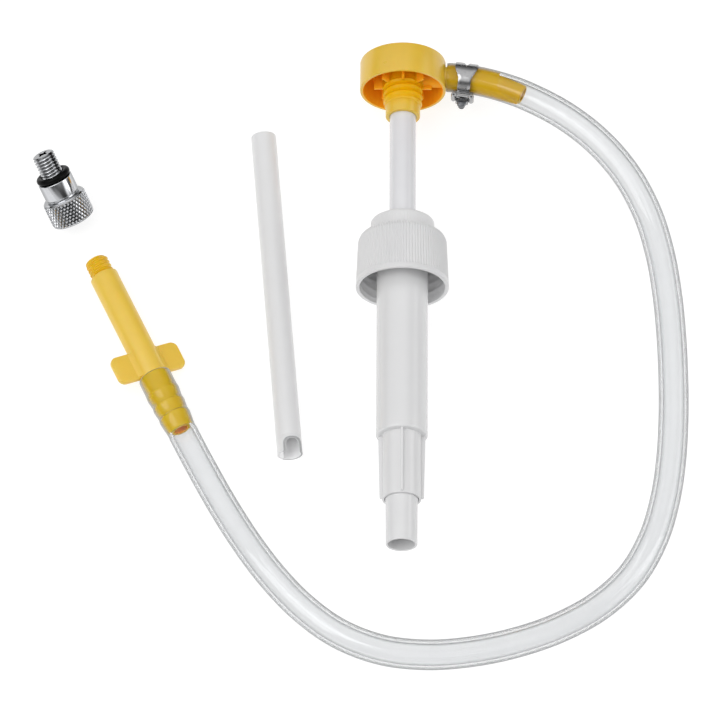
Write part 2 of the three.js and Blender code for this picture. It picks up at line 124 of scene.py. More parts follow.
def rounded(profile, closed=True, steps=4):
    """[r, s] or [r, s, fillet] points into a polyline with its corners rounded."""
    n = len(profile)
    out = []
    for i, p in enumerate(profile):
        f = p[2] if len(p) > 2 else 0
        here = Vector(p[:2])
        if f <= 0 or (not closed and i in (0, n - 1)):
            out.append(tuple(here))
            continue
        a = (Vector(profile[i - 1][:2]) - here)
        b = (Vector(profile[(i + 1) % n][:2]) - here)
        la, lb = a.length, b.length
        a.normalize()
        b.normalize()
        ang = math.acos(max(-1, min(1, a.dot(b))))
        if ang > math.radians(178) or ang < math.radians(2):
            out.append(tuple(here))
            continue
        t = min(f / math.tan(ang / 2), la * 0.49, lb * 0.49)
        r = t * math.tan(ang / 2)
        mid = (a + b).normalized()
        centre = here + mid * (r / math.sin(ang / 2))
        p0, p1 = here + a * t - centre, here + b * t - centre
        a0, a1 = math.atan2(p0.y, p0.x), math.atan2(p1.y, p1.x)
        d = (a1 - a0 + math.pi) % TAU - math.pi
        for k in range(steps + 1):
            q = a0 + d * k / steps
            out.append((centre.x + r * math.cos(q), centre.y + r * math.sin(q)))
    return out


def dense(line, s0, s1, step, closed=True):
    """More points on the parts of a profile between s0 and s1."""
    out = []
    n = len(line)
    for i in range(n):
        p = line[i]
        out.append(p)
        if not closed and i == n - 1:
            break
        q = line[(i + 1) % n]
        length = math.dist(p, q)
        lo, hi = min(p[1], q[1]), max(p[1], q[1])
        if hi < s0 - 1e-6 or lo > s1 + 1e-6 or length < step * 1.5 or hi - lo < 0.2:
            continue
        k = int(math.ceil(length / step))
        out.extend(
            (p[0] + (q[0] - p[0]) * j / k, p[1] + (q[1] - p[1]) * j / k)
            for j in range(1, k)
        )
    return out


def lathe(name, profile, segments, m=HERE, closed=True, change=None, smooth=32):
    """Revolve a profile about local Y. A direction psi is 0 up (+Z), 90 degrees at +X.
    change(psi, r, s) gives the new r, for ribs, threads and knurls."""
    pr = np.array(profile, dtype=float)
    psi = np.arange(segments) * TAU / segments
    r = np.repeat(pr[:, :1], segments, axis=1)
    s = np.repeat(pr[:, 1:2], segments, axis=1)
    if change is not None:
        r = change(np.repeat(psi[None, :], len(pr), axis=0), r, s)
    if not closed:
        r[0, :] = r[-1, :] = 0
    pts = np.stack([r * np.sin(psi)[None, :], s, r * np.cos(psi)[None, :]], axis=-1)
    rows, cols = len(pr), segments
    faces = []
    last = rows if closed else rows - 1
    for i in range(last):
        i2 = (i + 1) % rows
        for j in range(cols):
            j2 = (j + 1) % cols
            faces.append((i * cols + j, i * cols + j2, i2 * cols + j2, i2 * cols + j))
    return to_object(name, pts.reshape(-1, 3), faces, m, smooth)


def helix(pitch, amp, s0, s1, fade, base=None, hand=1, sharp=1.6, phase=0.0):
    """A thread: r grows by up to amp along a helix between s0 and s1."""

    def change(psi, r, s):
        wave = 0.5 + 0.5 * np.cos(TAU * (s / pitch - hand * psi / TAU + phase))
        ramp = np.clip((s - s0) / fade, 0, 1) * np.clip((s1 - s) / fade, 0, 1)
        ramp = ramp * ramp * (3 - 2 * ramp)
        add = amp * wave**sharp * ramp
        if base is not None:
            add = np.where(np.abs(r - base) < 0.35, add, 0)
        return r + add

    return change


def frames_on(points):
    """Parallel frames along a line of points."""
    p = np.asarray(points, dtype=float)
    t = np.gradient(p, axis=0)
    t /= np.linalg.norm(t, axis=1)[:, None]
    up = np.array([0.0, 0.0, 1.0])
    if abs(t[0] @ up) > 0.95:
        up = np.array([1.0, 0, 0])
    u = np.zeros_like(p)
    u[0] = up - (up @ t[0]) * t[0]
    u[0] /= np.linalg.norm(u[0])
    for i in range(1, len(p)):
        v = u[i - 1] - (u[i - 1] @ t[i]) * t[i]
        u[i] = v / np.linalg.norm(v)
    return p, t, u, np.cross(t, u)


def sweep(name, points, outer, inner=None, sides=48, m=HERE, smooth=32, rings=(0, 0)):
    """A rod, or a tube where inner is given, along points, with radii per point."""
    p, t, u, w = frames_on(points)
    n = len(p)
    a = np.arange(sides) * TAU / sides
    ca, sa = np.cos(a), np.sin(a)

    def wall(rad):
        rad = np.broadcast_to(np.asarray(rad, dtype=float), (n,))
        return (
            p[:, None, :]
            + rad[:, None, None]
            * (u[:, None, :] * ca[None, :, None] + w[:, None, :] * sa[None, :, None])
        )

    out = wall(outer)
    if inner is None:
        stack = [p[:1, None, :].repeat(sides, axis=1), out, p[-1:, None, :].repeat(sides, axis=1)]
        grid = np.concatenate(stack, axis=0)
        closed = False
    else:
        grid = np.concatenate([out, wall(inner)[::-1]], axis=0)
        closed = True
    rows = len(grid)
    faces = []
    for i in range(rows if closed else rows - 1):
        i2 = (i + 1) % rows
        for j in range(sides):
            j2 = (j + 1) % sides
            faces.append((i * sides + j, i * sides + j2, i2 * sides + j2, i2 * sides + j))
    return to_object(name, grid.reshape(-1, 3), faces, m, smooth)


def slab(name, outline, z0, z1, m=HERE, bevel=0.0, smooth=32, steps=3):
    """An outline in local X, Y pushed from z0 to z1, its edges rounded."""
    bm = bmesh.new()
    low = [bm.verts.new((x, y, z0)) for x, y in outline]
    face = bm.faces.new(low)
    made = bmesh.ops.extrude_face_region(bm, geom=[face])
    for v in made["geom"]:
        if isinstance(v, bmesh.types.BMVert):
            v.co.z = z1
    bmesh.ops.recalc_face_normals(bm, faces=bm.faces)
    if bevel > 0:
        edges = [
            e
            for e in bm.edges
            if abs(e.verts[0].co.z - e.verts[1].co.z) < 1e-9 and e.calc_face_angle(0) > 1.0
        ]
        bmesh.ops.bevel(
            bm, geom=edges, offset=bevel, segments=steps, profile=0.5, affect="EDGES",
            clamp_overlap=True,
        )
    verts = [tuple(v.co) for v in bm.verts]
    bm.verts.index_update()
    faces = [tuple(v.index for v in f.verts) for f in bm.faces]
    bm.free()
    return to_object(name, verts, faces, m, smooth)


def block(name, lo, hi, m=HERE, bevel=0.0, steps=3):
    outline = [(lo[0], lo[1]), (hi[0], lo[1]), (hi[0], hi[1]), (lo[0], hi[1])]
    obj = slab(name, outline, lo[2], hi[2], HERE, 0)
    if bevel > 0:
        bm = bmesh.new()
        bm.from_mesh(obj.data)
        bmesh.ops.bevel(
            bm, geom=list(bm.edges), offset=bevel * MM, segments=steps, profile=0.5,
            affect="EDGES",
        )
        bm.to_mesh(obj.data)
        bm.free()
    obj.data.transform(m)
    tidy(obj)
    return obj


def combine(target, others, operation, smooth=32):
    for other in others:
        mod = target.modifiers.new("solid", "BOOLEAN")
        mod.operation = operation
        mod.object = other
        mod.solver = "MANIFOLD"
        deps = bpy.context.evaluated_depsgraph_get()
        mesh = bpy.data.meshes.new_from_object(target.evaluated_get(deps))
        if len(mesh.polygons) == 0:
            bpy.data.meshes.remove(mesh)
            mod.solver = "EXACT"
            deps = bpy.context.evaluated_depsgraph_get()
            mesh = bpy.data.meshes.new_from_object(target.evaluated_get(deps))
        target.modifiers.clear()
        old = target.data
        target.data = mesh
        bpy.data.meshes.remove(old)
        bpy.data.objects.remove(other, do_unlink=True)
    tidy(target, smooth)
    target.data.materials.clear()
    return target


def merge(name, objs, smooth=32):
    """Several closed shells as one mesh."""
    bm = bmesh.new()
    for o in objs:
        bm.from_mesh(o.data)
        bpy.data.objects.remove(o, do_unlink=True)
    mesh = bpy.data.meshes.new(name)
    bm.to_mesh(mesh)
    bm.free()
    obj = bpy.data.objects.new(name, mesh)
    bpy.context.scene.collection.objects.link(obj)
    mesh.shade_smooth()
    mesh.set_sharp_from_angle(angle=math.radians(smooth))
    return obj


def done(obj, material, body, slot, *nodes):
    obj.data.materials.clear()
    obj.data.materials.append(material)
    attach(obj, body)
    if nodes:
        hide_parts(*nodes)
    return obj


# ------------------------------------------------------------------ materials
class Nodes:
    def __init__(self, name):
        self.mat = bpy.data.materials.new(name)
        self.mat.use_nodes = True
        self.t = self.mat.node_tree
        self.t.nodes.clear()
        self.out = self.t.nodes.new("ShaderNodeOutputMaterial")
        self.bsdf = self.t.nodes.new("ShaderNodeBsdfPrincipled")
        self.t.links.new(self.bsdf.outputs[0], self.out.inputs["Surface"])
        self.coord = self.t.nodes.new("ShaderNodeTexCoord").outputs["Object"]

    def put(self, socket, value):
        sock = self.bsdf.inputs[socket] if isinstance(socket, str) else socket
        if hasattr(value, "links") or hasattr(value, "is_linked"):
            self.t.links.new(value, sock)
        else:
            sock.default_value = value

    def math(self, op, *values, clamp=False):
        n = self.t.nodes.new("ShaderNodeMath")
        n.operation = op
        n.use_clamp = clamp
        for k, v in enumerate(values):
            self.put(n.inputs[k], v)
        return n.outputs[0]

    def noise(self, scale, detail=2.0, rough=0.5, vector=None, w=None, distortion=0.0):
        n = self.t.nodes.new("ShaderNodeTexNoise")
        if w is not None:
            n.noise_dimensions = "1D"
            self.put(n.inputs["W"], w)
        else:
            self.put(n.inputs["Vector"], vector if vector is not None else self.coord)
        n.inputs["Scale"].default_value = scale
        n.inputs["Detail"].default_value = detail
        n.inputs["Roughness"].default_value = rough
        n.inputs["Distortion"].default_value = distortion
        return n.outputs["Fac"]

    def span(self, value, a, b, lo=0.3, hi=0.7):
        n = self.t.nodes.new("ShaderNodeMapRange")
        self.put(n.inputs["Value"], value)
        n.inputs["From Min"].default_value = lo
        n.inputs["From Max"].default_value = hi
        n.inputs["To Min"].default_value = a
        n.inputs["To Max"].default_value = b
        return n.outputs["Result"]

    def blend(self, fac, a, b, kind="MIX"):
        n = self.t.nodes.new("ShaderNodeMix")
        n.data_type = "RGBA"
        n.blend_type = kind
        self.put(n.inputs[0], fac)
        for sock, v in ((n.inputs[6], a), (n.inputs[7], b)):
            if isinstance(v, (tuple, list)):
                sock.default_value = (*v[:3], 1)
            else:
                self.t.links.new(v, sock)
        return n.outputs[2]

    def bump(self, height, strength, distance, normal=None):
        n = self.t.nodes.new("ShaderNodeBump")
        n.inputs["Strength"].default_value = strength
        n.inputs["Distance"].default_value = distance
        self.put(n.inputs["Height"], height)
        if normal is not None:
            self.t.links.new(normal, n.inputs["Normal"])
        return n.outputs["Normal"]

    def run(self, m, which=1):
        """Distance along the local Y axis (or X, 0) of the frame m, in metres."""
        axis = m.to_3x3().col[which]
        o = m.translation
        n = self.t.nodes.new("ShaderNodeVectorMath")
        n.operation = "DOT_PRODUCT"
        self.t.links.new(self.coord, n.inputs[0])
        n.inputs[1].default_value = axis
        return self.math("SUBTRACT", n.outputs["Value"], Vector(axis).dot(o))


    def across(self, m):
        """Distance from the local Y axis of the frame m, in metres."""
        sub = self.t.nodes.new("ShaderNodeVectorMath")
        sub.operation = "SUBTRACT"
        self.t.links.new(self.coord, sub.inputs[0])
        sub.inputs[1].default_value = m.translation
        cross = self.t.nodes.new("ShaderNodeVectorMath")
        cross.operation = "CROSS_PRODUCT"
        self.t.links.new(sub.outputs[0], cross.inputs[0])
        cross.inputs[1].default_value = m.to_3x3().col[1]
        size = self.t.nodes.new("ShaderNodeVectorMath")
        size.operation = "LENGTH"
        self.t.links.new(cross.outputs[0], size.inputs[0])
        return size.outputs["Value"]


def shade(rgb, k):
    return tuple(max(0.0, min(1.0, c * k)) for c in rgb)


def moulded(name, rgb, rough, glow=0.0, radius=(1, 1, 1), vary=0.03, m=None, marks=0.0, spec=0.9,
            zones=(), calm=1.0):
    """Injection-moulded plastic: cloudy colour, faint flow marks, a fine satin grain.
    zones holds (colour, gloss, (r0, r1), (s0, s1), soft): parts of the frame m, in millimetres
    from its Y axis and along it, that get a colour and a gloss of their own, mostly painted light and shade (a painted
    glow in hollows, painted shade on cut faces), and may hold a last number, the least local X. calm below 1 quiets the
    grain and the scuffs, for a smooth white moulding."""
    n = Nodes(name)
    cloud = n.noise(150, 3, 0.55)
    colour = n.blend(n.span(cloud, 0, 1), shade(rgb, 1 - vary), shade(rgb, 1 + vary))
    gloss = spec
    for tone, shine, (r0, r1), (s0, s1), soft, *least in zones:
        r, s = n.across(m), n.run(m)
        inside = n.math("MULTIPLY", n.span(r, 0, 1, (r0 - 0.1) * MM, (r0 + 0.1) * MM),
                        n.span(r, 1, 0, (r1 - 0.1) * MM, (r1 + 0.1) * MM))
        inside = n.math("MULTIPLY", inside, n.span(s, 0, 1, (s0 - soft) * MM, (s0 + soft) * MM))
        inside = n.math("MULTIPLY", inside, n.span(s, 1, 0, (s1 - 0.3) * MM, (s1 + 0.3) * MM))
        if least:
            inside = n.math("MULTIPLY", inside, n.span(n.run(m, 0), 0, 1, (least[0] - 0.1) * MM, (least[0] + 0.1) * MM))
        # each zone's colour is painted light or shade laid over the moulding's own colour
        colour = n.blend(inside, colour, tone)
        if isinstance(gloss, (int, float)):
            gloss = n.span(inside, gloss, shine, 0, 1)
        else:
            gloss = n.math("ADD", n.math("MULTIPLY", gloss, n.math("SUBTRACT", 1.0, inside)),
                           n.math("MULTIPLY", inside, shine))
    grain = n.noise(3200, 2, 0.6)
    colour = n.blend(n.span(grain, 0.0, 0.05 * calm), colour, shade(rgb, 0.88))
    scuff = n.noise(420, 4, 0.65, distortion=0.6)
    n.put("Base Color", colour)
    n.put("Roughness", n.math("ADD", n.span(cloud, rough - 0.02 * calm, rough + 0.02 * calm), n.span(scuff, -0.015 * calm, 0.02 * calm)))
    height = n.math("ADD", n.math("MULTIPLY", grain, 0.6), n.math("MULTIPLY", scuff, 0.25))
    if m is not None and marks > 0:
        lines = n.noise(1.0, 2, 0.6, w=n.math("MULTIPLY", n.run(m), 2600.0))
        height = n.math("ADD", height, n.math("MULTIPLY", lines, marks))
    if calm < 1.0:
        # a smooth white moulding: only faint sink waves
        n.put("Normal", n.bump(n.noise(45, 2, 0.5), 0.12, 0.00008))
    else:
        n.put("Normal", n.bump(height, 0.2, 0.00001))
    n.put("Specular IOR Level", gloss)
    if glow > 0:
        n.put("Subsurface Weight", glow)
        n.put("Subsurface Radius", radius)
        n.put("Subsurface Scale", 0.001)
    return n.mat


def metal(name, rgb, rough, m=None, lines=2400.0, depth=0.00001, vary=0.06, dirt=0.0, rim_shade=1.0, groove_shade=()):
    """Turned or rolled metal: machining lines across the axis and small clouded wear. rim_shade
    below 1 paints it darker where it is seen edge on, a painted shade for dark reflections; groove_shade holds (r low,
    r high, s0, s1, tone) in millimetres, painted shade at the bottom of a thread or a knurl of the frame m."""
    n = Nodes(name)
    cloud = n.noise(260, 4, 0.6, distortion=0.4)
    colour = n.blend(n.span(cloud, 0, 1), shade(rgb, 1 - vary), shade(rgb, 1 + vary * 0.5))
    if dirt > 0:
        spots = n.noise(900, 3, 0.6)
        colour = n.blend(n.span(spots, 0, dirt, 0.55, 0.75), colour, (0.12, 0.11, 0.10))
    # painted shade at the bottom of the thread and the knurl grooves
    for r0, r1, s0, s1, tone in groove_shade:
        r, s = n.across(m), n.run(m)
        low = n.math("MULTIPLY", n.span(r, 1, 0, r0 * MM, r1 * MM),
                     n.math("MULTIPLY", n.span(s, 0, 1, (s0 - 0.1) * MM, (s0 + 0.1) * MM),
                            n.span(s, 1, 0, (s1 - 0.1) * MM, (s1 + 0.1) * MM)))
        colour = n.blend(low, colour, shade(rgb, tone))
    # painted shade: darker where the metal is seen edge on, for the dark surroundings it reflects there
    if rim_shade < 1.0:
        edge = n.t.nodes.new("ShaderNodeLayerWeight")
        edge.inputs["Blend"].default_value = 0.5
        colour = n.blend(n.span(edge.outputs["Facing"], 0, 1, 0.42, 0.72), colour, shade(rgb, rim_shade))
    n.put("Base Color", colour)
    n.put("Metallic", 1.0)
    n.put("Roughness", n.span(cloud, rough * 0.8, rough * 1.25))
    height = n.math("MULTIPLY", n.noise(2500, 3, 0.6), 0.6)
    if m is not None:
        height = n.math("ADD", height, n.noise(1.0, 2, 0.5, w=n.math("MULTIPLY", n.run(m), lines)))
    n.put("Normal", n.bump(height, 0.4, depth))
    return n.mat


def rubber(name, rgb, rough, gloss=0.5):
    n = Nodes(name)
    cloud = n.noise(500, 3, 0.6)
    n.put("Base Color", n.blend(n.span(cloud, 0, 1), shade(rgb, 0.8), shade(rgb, 1.2)))
    n.put("Roughness", n.span(cloud, rough - 0.05, rough + 0.08))
    n.put("Specular IOR Level", gloss)
    n.put("Normal", n.bump(n.noise(4000, 3, 0.6), 0.3, 0.00002))
    return n.mat


def clear_vinyl(name):
    """Clear flexible tube: refracts, lets lamp light through, and its wall looks hazy and darker where it is
    seen edge on: a milky haze that is partly painted shade."""
    n = Nodes(name)
    edge = n.t.nodes.new("ShaderNodeLayerWeight")
    edge.inputs["Blend"].default_value = 0.35
    facing = edge.outputs["Facing"]
    streak = n.noise(60, 3, 0.55, distortion=0.5)
    # painted shade: the tint goes darker where the wall is seen edge on
    edge_shaded_tint = n.blend(n.span(facing, 0, 1, 0.20, 0.52), (0.865, 0.87, 0.875), (0.58, 0.595, 0.60))
    edge_shaded_tint = n.blend(n.span(streak, 0.0, 0.05), edge_shaded_tint, (0.80, 0.82, 0.83))
    n.put("Base Color", edge_shaded_tint)
    n.put("Transmission Weight", 1.0)
    n.put("IOR", 1.38)
    n.put("Roughness", n.span(n.noise(300, 3, 0.6), 0.015, 0.05))
    n.put("Normal", n.bump(n.noise(70, 1, 0.5), 0.06, 0.0003))
    # a grey diffuse haze mixed in towards the edges: partly the milky wall, partly painted shade
    haze_and_shade = n.t.nodes.new("ShaderNodeBsdfDiffuse")
    haze_and_shade.inputs["Color"].default_value = (0.50, 0.508, 0.512, 1)
    cloudy_and_shaded = n.t.nodes.new("ShaderNodeMixShader")
    n.put(cloudy_and_shaded.inputs[0], n.math("ADD", n.span(streak, 0.0, 0.012), n.span(facing, 0.0, 0.90, 0.25, 0.60)))
    n.t.links.new(n.bsdf.outputs[0], cloudy_and_shaded.inputs[1])
    n.t.links.new(haze_and_shade.outputs[0], cloudy_and_shaded.inputs[2])
    clear = n.t.nodes.new("ShaderNodeBsdfTransparent")
    clear.inputs["Color"].default_value = (0.93, 0.935, 0.94, 1)
    lamp = n.t.nodes.new("ShaderNodeMixShader")
    n.put(lamp.inputs[0], n.t.nodes.new("ShaderNodeLightPath").outputs["Is Shadow Ray"])
    n.t.links.new(cloudy_and_shaded.outputs[0], lamp.inputs[1])
    n.t.links.new(clear.outputs[0], lamp.inputs[2])
    n.t.links.new(lamp.outputs[0], n.out.inputs["Surface"])
    return n.mat


YELLOW_RGB = (0.77, 0.50, 0.036)
WHITE_RGB = (0.735, 0.735, 0.74)
# painted light: the inside of the cup and the boss are painted a brighter, redder orange for the glow of light through
# the translucent walls; painted shade: the spout beyond the cup wall, under the hose, is painted a darker yellow
HEAD_PAINTED_LIGHT_ZONES = (
    ((1.0, 0.44, 0.014), 0.12, (9.4, 18.5), (200, 241.2), 3.0),
    ((0.84, 0.47, 0.002), 0.12, (0, 9.4), (219.5, 241.2), 3.0),
    ((0.69, 0.415, 0.004), 0.10, (20.4, 80), (200, 280), 1.0),
)
# painted shade: the barbed spigot under the hose is painted a darker yellow; painted light: the bore is painted a
# bright orange for light glowing through the thin wall; the last zone is a slightly darker, less glossy tone at the
# threaded top
END_ZONES = (
    ((0.70, 0.47, 0.016), 0.10, (0, 6.2), (-40, -0.2), 0.2),
    ((0.95, 0.36, 0.01), 0.10, (0, 3.3), (-31, 62), 0.2),
    ((0.76, 0.46, 0.004), 0.40, (0, 5.6), (55.3, 70), 0.2),
)
# painted tone for the shaded hollow: the inside of the cap and the part of the collar within it are painted a little
# lighter and less glossy than the outside
CAP_HOLLOW_PAINTED_ZONES = (((0.76, 0.76, 0.765), 0.3, (0, 19.3), (120, 149.7), 0.3),)
# painted shade: the cut face of the wall at the scooped end is painted dark grey; painted light: the bore is painted
# lighter than the moulding
DIP_PAINTED_LIGHT_ZONES = (
    ((0.40, 0.405, 0.41), 0.3, (4.78, 5.62), (-1, 8), 0.1, -3.2),
    ((0.96, 0.96, 0.965), 0.3, (0, 4.75), (-1, 60), 0.1),
)
yellow_head = moulded("yellow_head", YELLOW_RGB, 0.30, 0.2, (3.2, 1.2, 0.25), 0.02, PUMP, 0.1, 0.8, HEAD_PAINTED_LIGHT_ZONES)
yellow_end = moulded("yellow_end", (0.82, 0.555, 0.062), 0.36, 0.2, (3.2, 1.2, 0.25), 0.02, ADAPTER, 0.1, 0.7, END_ZONES)
white_barrel = moulded("white_barrel", WHITE_RGB, 0.27, 0.0, (2.0, 2.0, 2.0), 0.006, PUMP, 0.1, 0.9, (), 0.0)
white_cap = moulded("white_cap", WHITE_RGB, 0.36, 0.0, (2.0, 2.0, 2.0), 0.006, PUMP, 0.1, 0.9, CAP_HOLLOW_PAINTED_ZONES, 0.0)
white_stem = moulded("white_stem", (0.75, 0.75, 0.77), 0.24, 0.0, (2.0, 2.0, 2.2), 0.006, PUMP, 0.1, 0.9, (), 0.0)
white_tube = moulded("white_tube", (0.77, 0.77, 0.775), 0.30, 0.35, (2.4, 2.4, 2.4), 0.006, DIP, 0.2, 0.8, DIP_PAINTED_LIGHT_ZONES, 0.0)
white_piston = moulded("white_piston", (0.66, 0.66, 0.66), 0.36, 0.1, (2.0, 2.0, 2.0), 0.02, PUMP, 0.2)
seal_grey = rubber("seal_grey", (0.20, 0.205, 0.21), 0.55)
black_rubber = rubber("black_rubber", (0.003, 0.003, 0.003), 0.30, 0.07)
# the chrome gets painted shade at its edges and in its thread roots and knurl grooves
chrome = metal("chrome", (0.62, 0.63, 0.65), 0.11, FITTING, 3000.0, rim_shade=0.45,
               groove_shade=((9.60, 9.95, 0.3, 11.8, 0.24), (4.45, 4.95, 21.4, 34.1, 0.22)))
band_steel = metal("band_steel", (0.42, 0.42, 0.425), 0.24, CLAMP, 1500.0, 0.00001, 0.08, 0.25)
screw_steel = metal("screw_steel", (0.17, 0.175, 0.185), 0.28, None, 1.0, 0.00001, 0.1, 0.4)
ball_steel = metal("ball_steel", (0.72, 0.73, 0.75), 0.10, None)
spring_steel = metal("spring_steel", (0.62, 0.63, 0.64), 0.22, PUMP, 900.0)
vinyl = clear_vinyl("clear_vinyl")


# ------------------------------------------------------------------ hose (the cord)
T = [
    (39.34, 134.45, 19.67), (44.32, 134.13, 19.67), (49.28, 133.48, 19.67),
    (56.14, 132.08, 19.67), (64.76, 129.51, 19.67), (75.85, 124.94, 19.67),
    (93.33, 114.79, 19.21), (108.86, 102.0, 17.25), (121.57, 86.65, 13.97),
    (130.59, 68.91, 10.43), (135.92, 49.59, 7.83), (138.67, 29.57, 6.81),
    (139.93, 9.37, 6.75), (140.29, -10.87, 6.75), (139.86, -31.11, 6.75),
    (138.35, -51.29, 6.75), (135.17, -71.27, 6.75), (129.39, -90.65, 6.75),
    (119.66, -108.34, 6.75), (105.37, -122.58, 6.75), (88.04, -132.98, 6.75),
    (69.15, -140.2, 6.75), (49.43, -144.69, 6.75), (29.27, -146.3, 6.75),
    (9.22, -143.88, 6.75), (-9.41, -136.14, 6.75), (-25.38, -123.77, 6.75),
    (-38.83, -108.67, 6.75), (-50.44, -92.09, 6.75), (-60.76, -74.68, 6.77),
    (-70.23, -56.85, 6.95), (-79.18, -38.95, 7.35), (-85.55, -25.61, 7.48),
    (-92.188, -11.58, 7.5),
]
ROUTE = [(x + 35.7, y - 20.62, z) for x, y, z in T]


def smooth_line(points, per=40):
    """Centripetal Catmull-Rom line through points."""
    p = [np.array(q, dtype=float) for q in points]
    p = [2 * p[0] - p[1]] + p + [2 * p[-1] - p[-2]]
    out = []
    for i in range(1, len(p) - 2):
        p0, p1, p2, p3 = p[i - 1 : i + 3]
        d0, d1, d2 = (math.sqrt(np.linalg.norm(b - a)) for a, b in ((p0, p1), (p1, p2), (p2, p3)))
        m1 = ((p1 - p0) / d0 - (p2 - p0) / (d0 + d1) + (p2 - p1) / d1) * d1
        m2 = ((p2 - p1) / d1 - (p3 - p1) / (d1 + d2) + (p3 - p2) / d2) * d1
        for k in range(per):
            t = k / per
            out.append(
                (2 * t**3 - 3 * t**2 + 1) * p1 + (t**3 - 2 * t**2 + t) * m1
                + (-2 * t**3 + 3 * t**2) * p2 + (t**3 - t**2) * m2
            )
    out.append(p[-2])
    return np.array(out)


LINE = smooth_line(ROUTE)
ARC = np.concatenate([[0], np.cumsum(np.linalg.norm(np.diff(LINE, axis=0), axis=1))])
HOSE_LEN = float(ARC[-1])


def at(length):
    length = np.asarray(length, dtype=float)
    return np.stack([np.interp(length, ARC, LINE[:, k]) for k in range(3)], axis=-1)


BARBS = ((-29.7, -21.6, 4.7, 5.5), (-21.6, -15.4, 5.1, 5.75), (-15.4, -9.4, 5.35, 5.95))
SPIGOT = 5.75


def barb_radius(a):
    """Radius of the adapter's barbed spigot at a, 0 at its body and -29.7 at its end."""
    a = np.asarray(a, dtype=float)
    r = np.full(a.shape, SPIGOT)
    r = np.where(a < -29.7, 4.7, r)
    for k, (a0, a1, r0, r1) in enumerate(BARBS):
        after = BARBS[k + 1][2] if k + 1 < len(BARBS) else SPIGOT
        inside = (a >= a0) & (a < a1 - 0.25)
        r = np.where(inside, r0 + (r1 - r0) * (a - a0) / (a1 - a0), r)
        fall = (a >= a1 - 0.25) & (a < a1 + 0.35)
        r = np.where(fall, r1 + (after - r1) * np.clip((a - a1 + 0.25) / 0.6, 0, 1), r)
    return r


steps = np.unique(
    np.concatenate(
        [
            np.arange(0.35, 40, 0.8),
            np.arange(40, HOSE_LEN - 36, 1.6),
            np.arange(HOSE_LEN - 36, HOSE_LEN - 0.35, 0.3),
            [HOSE_LEN - 0.35],
        ]
    )
)
a_at = steps - HOSE_LEN
grip = barb_radius(a_at)
inner_r = np.interp(a_at, (-32.0, -29.9), (4.90, 4.67))
inner_r = np.where(a_at > -29.9, grip - 0.03, inner_r)
outer_r = np.interp(a_at, (-33.0, -29.7, -21.6, -15.4, -9.4, -0.35), (6.70, 6.72, 7.15, 7.38, 7.55, 7.50))
soft = np.convolve(np.pad(grip, 3, mode="edge"), np.ones(7) / 7, mode="valid")
wide = np.convolve(np.pad(grip, 20, mode="edge"), np.ones(41) / 41, mode="valid")
outer_r += np.where(a_at > -31.5, 1.25 * (soft - wide), 0)
# the strap of the clamp presses the hose a little
outer_r -= 0.22 * np.exp(-(((steps - 9.0) / 4.2) ** 4))
# soft rounded ends
for end, sign in ((0.35, 1), (HOSE_LEN - 0.35, -1)):
    d = (steps - end) * sign
    outer_r -= np.where(d < 0.7, 0.25 * (1 - np.clip(d, 0, 0.7) / 0.7) ** 2, 0)
hose = sweep("hose_tube", at(steps), outer_r, inner_r, 112)
for vertex in hose.data.vertices:
    # the lowest line rests on the floor, a hair above it
    vertex.co.z = max(vertex.co.z, 0.00003)
done(hose, vinyl, "plunger", "hose", "delivery_hose")


# ------------------------------------------------------------------ hose-end adapter
def build_adapter():
    shoulder, top = 55.3, 64.0
    spigot = [(float(barb_radius(a)), float(a)) for a in
              np.unique(np.concatenate([np.arange(-29.3, -0.2, 0.35),
                                        [b[1] + d for b in BARBS for d in (-0.25, 0.05, 0.35)]]))]
    outer = [(3.0, -29.7), (4.4, -29.7), (4.68, -29.45)] + spigot
    outer += rounded(
        [(SPIGOT, 0.0), (6.42, 0.0, 0.3), (6.42, shoulder, 0.5), (4.78, shoulder, 0.15), (4.78, top, 0.45),
         (3.2, top, 0.25), (3.2, 61.0)], closed=False)
    outer += [(3.0, 40.0)]
    profile = dense(outer, shoulder + 0.3, top - 0.3, 0.16)
    thread = helix(1.95, 0.62, shoulder + 0.5, top + 0.2, 0.9, base=4.78, hand=1, sharp=1.3)
    body = lathe("adapter_body", profile, 96, ADAPTER, change=thread)
    w, c, far = 16.7, 3.2, 13.7
    outline = []
    for cx, cy, a0 in ((w - c, c, -90), (w - c, far - c, 0), (-w + c, far - c, 90), (-w + c, c, 180)):
        for k in range(9):
            q = math.radians(a0 + 90 * k / 8)
            outline.append((cx + c * math.cos(q), cy + c * math.sin(q)))
    roll = ADAPTER @ Matrix.Rotation(math.radians(16), 4, "Y")
    plate = slab("wings", outline, -1.2, 1.2, roll, 0.55)
    # soft roots where the wings leave the body
    roots = []
    for side in (-1, 1):
        for up in (-1, 1):
            x, x2 = side * 5.5, side * 7.9
            corner = [(x, 0.5), (x, far - 0.5), (x2, far - 0.9), (x2, 0.9)]
            pts = [(px, py, z) for px, py in corner for z in (0.0, up * (3.1 if px == x else 1.12))]
            faces = [(0, 2, 4, 6), (1, 7, 5, 3), (0, 1, 3, 2), (2, 3, 5, 4), (4, 5, 7, 6), (6, 7, 1, 0)]
            roots.append(to_object("root", pts, faces, roll))
    # the bore is cut again so that the plate does not close it
    drill = lathe("drill", [(0, -40), (3.0, -40), (3.0, 70), (0, 70)], 48, ADAPTER, closed=False)
    combine(body, [plate] + roots, "UNION", 30)
    combine(body, [drill], "DIFFERENCE", 30)
    body.name = "hose_end"
    return done(body, yellow_end, "plunger", "head", "hose_end_adapter")


adapter = build_adapter()


